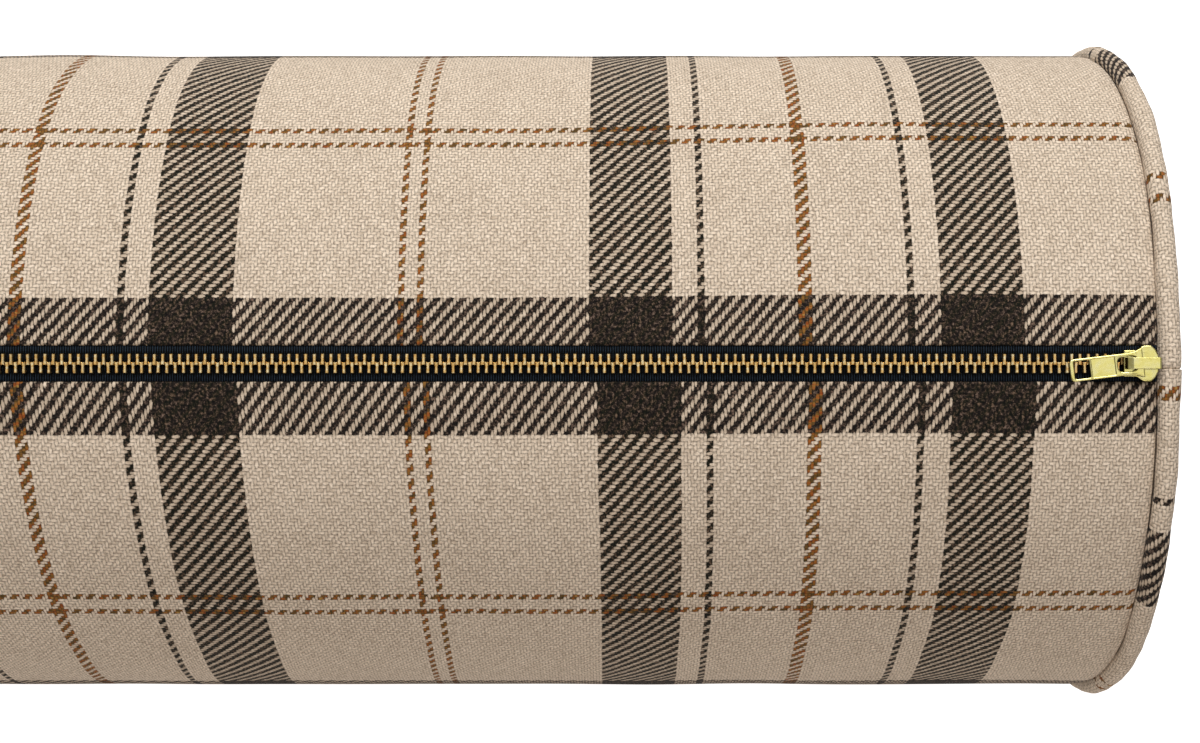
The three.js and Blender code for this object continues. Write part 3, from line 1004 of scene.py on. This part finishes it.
# Slider
# A cast slider in pale polished brass: a top plate with rounded shoulders at the nose, rails down both sides
# to hold the teeth, a lower plate joined to it by a post, and a strap over the top that the puller hangs on.
slider_nose = 0.3004
slider_outline = [
    # distance back from the nose, half width, corner radius
    (0.0108, 0.00415, 0.0003),
    (0.0068, 0.00415, 0.0012),
    (0.0048, 0.0055, 0.0006),
    (0.0040, 0.00565, 0.0004),
    (0.0022, 0.00565, 0.0007),
    (0.0009, 0.0044, 0.0006),
    (-0.0001, 0.0024, 0.0005),
]
bail_outline = [
    # distance back from the nose, level above the axis, corner radius
    (0.0105, 0.1163, 0.0),
    (0.0105, 0.1181, 0.0005),
    (0.0100, 0.1192, 0.0006),
    (0.0084, 0.1201, 0.0003),
    (-0.0003, 0.1201, 0.0007),
    (-0.0006, 0.1163, 0.0),
    (0.0006, 0.1163, 0.0),
    (0.0006, 0.1192, 0.0003),
    (0.0093, 0.1192, 0.0004),
    (0.0095, 0.1163, 0.0),
]
bail_half = 0.0018
rail_thick = 0.00085
post_rows = [
    # place along the bolster, half width, corner radius
    (0.2970, 0.0007, 0.0004),
    (0.2990, 0.0007, 0.0004),
]


def filleted(corners, steps=5):
    """Points round a closed outline of (x, y, radius) corners, each corner rounded to its radius."""
    points = []
    count = len(corners)
    for index, (x, y, fillet) in enumerate(corners):
        here = Vector((x, y))
        if fillet <= 0:
            points.append((x, y))
            continue
        before = Vector(corners[index - 1][:2]) - here
        after = Vector(corners[(index + 1) % count][:2]) - here
        opening = before.angle(after)
        reach = min(fillet / math.tan(opening / 2), 0.48 * before.length, 0.48 * after.length)
        start = here + before.normalized() * reach
        end = here + after.normalized() * reach
        for step in range(steps + 1):
            t = step / steps
            point = start * (1 - t) ** 2 + here * (2 * t * (1 - t)) + end * t**2
            points.append((point.x, point.y))
    return points


def plate(outlines, thickness, round_edge, where):
    """A plate cut to the outlines, later ones being holes, with rounded edges, moved by a matrix."""
    curve = bpy.data.curves.new("plate", "CURVE")
    curve.dimensions = "2D"
    curve.fill_mode = "BOTH"
    curve.extrude = thickness / 2 - round_edge
    curve.bevel_depth = round_edge
    curve.bevel_resolution = 3
    curve.offset = -round_edge
    for outline in outlines:
        spline = curve.splines.new("POLY")
        spline.points.add(len(outline) - 1)
        for point, (x, y) in zip(spline.points, outline):
            point.co = (x, y, 0, 1)
        spline.use_cyclic_u = True
    holder = added("plate", curve)
    mesh = applied(holder)
    bpy.data.objects.remove(holder)
    mesh.transform(where)
    return mesh


def joined(name, parts, material):
    """One piece from several plates, with its doubles merged and the shading of its flat faces kept flat."""
    tool = bmesh.new()
    for part in parts:
        tool.from_mesh(part)
    bmesh.ops.remove_doubles(tool, verts=tool.verts, dist=2e-6)
    bmesh.ops.recalc_face_normals(tool, faces=tool.faces)
    mesh = bpy.data.meshes.new(name)
    tool.to_mesh(mesh)
    tool.free()
    mesh.materials.append(material)
    mesh.shade_smooth()
    mesh.set_sharp_from_angle(angle=math.radians(50))
    piece = added(name, mesh)
    shading = piece.modifiers.new("flat faces", "WEIGHTED_NORMAL")
    shading.keep_sharp = True
    piece.data = applied(piece)
    piece.modifiers.clear()
    return piece


def level_plate(outlines, bottom, top, round_edge):
    """A flat plate in plan between two levels above the axis."""
    middle = axis_height + (bottom + top) / 2
    return plate(outlines, top - bottom, round_edge, Matrix.Translation((0, 0, middle)))


def both_halves(rows):
    """The closed outline of (x, half width, radius) rows, both sides of the centre line."""
    return [*rows, *((x, -half, fillet) for x, half, fillet in reversed(rows))]


pale_brass = make_brass_material(
    "pale slider brass",
    [(0.3, (0.62, 0.54, 0.14, 1)), (0.5, (0.82, 0.75, 0.27, 1)), (0.7, (0.93, 0.88, 0.44, 1))],
    (0.17, 0.27),
    420.0,
    # painted shade on the slider's and puller's sides
    0.22,
)

plan = filleted(both_halves([(slider_nose - back, half, fillet) for back, half, fillet in slider_outline]))
upper_plate = level_plate([plan], bottom=0.1159, top=0.1170, round_edge=0.0004)
lower_plate = level_plate([plan], bottom=0.1109, top=0.1119, round_edge=0.0003)
rails = []
for side in (1, -1):
    outer = [(slider_nose - back, side * half) for back, half, fillet in slider_outline[:5]]
    inner = [(x, y - side * rail_thick) for x, y in outer][::-1]
    rail = filleted([(x, y, 0.0002) for x, y in outer + inner])
    rails.append(level_plate([rail], bottom=0.1135, top=0.1165, round_edge=0.00015))
post = level_plate([filleted(both_halves(post_rows))], bottom=0.1114, top=0.1163, round_edge=0.0001)
upright = Matrix.Translation((0, 0, axis_height)) @ Matrix.Rotation(math.pi / 2, 4, "X")
side_view = [(slider_nose - back, level, fillet) for back, level, fillet in bail_outline]
bail = plate([filleted(side_view)], 2 * bail_half, 0.0002, upright)
slider = joined("cast_slider", [upper_plate, lower_plate, *rails, post, bail], pale_brass)
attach(slider, "root")
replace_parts(slider, "zip_slider")


# Puller
# A flat tongue in the same brass, hung on the slider's strap and lying towards the closed zip. Its rails
# stand round a bare sunk panel, with a window at the free end and a slot for the strap at the other.
puller_thick = 0.0011
pivot = (0.2927, 0.0, axis_height + 0.11754)
puller_turn, puller_dip = math.radians(6.9), math.radians(4.5)
puller_outline = [
    # along from the pivot, half width, corner radius
    (-0.0200, 0.0036, 0.0017),
    (-0.0060, 0.0035, 0.0),
    (-0.0015, 0.0035, 0.002),
    (0.0006, 0.0038, 0.002),
    (0.0020, 0.0044, 0.001),
    (0.0028, 0.0047, 0.0002),
]
puller_holes = [
    # from, to, half width, corner radius
    (-0.0186, -0.0138, 0.00275, 0.0005),
    (-0.0131, -0.0061, 0.00275, 0.0002),
    (-0.0052, 0.0009, 0.0023, 0.0018),
]
panel_sunk, panel_overlap = 0.00036, 0.00045


def oblong(start, stop, half, fillet=0.0):
    """The outline of a rectangle along the puller, its corners rounded."""
    corners = ((start, -half), (stop, -half), (stop, half), (start, half))
    return filleted([(x, y, fillet) for x, y in corners])


hang = (
    Matrix.Translation(pivot)
    @ Matrix.Rotation(puller_turn, 4, "Z")
    @ Matrix.Rotation(-puller_dip, 4, "Y")
)
middle = hang @ Matrix.Translation((0, 0, puller_thick / 2))
outlines = [filleted(both_halves(puller_outline)), *(oblong(*hole) for hole in puller_holes)]
frame_plate = plate(outlines, puller_thick, 0.0004, middle)
start, stop, half = puller_holes[1][:3]
inlay = oblong(start - panel_overlap, stop + panel_overlap, half + panel_overlap)
panel_plate = plate([inlay], puller_thick - 2 * panel_sunk, 0.00005, middle)
puller = joined("hanging_puller", [frame_plate, panel_plate], pale_brass)
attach(puller, "root")
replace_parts(puller, "zip_puller")
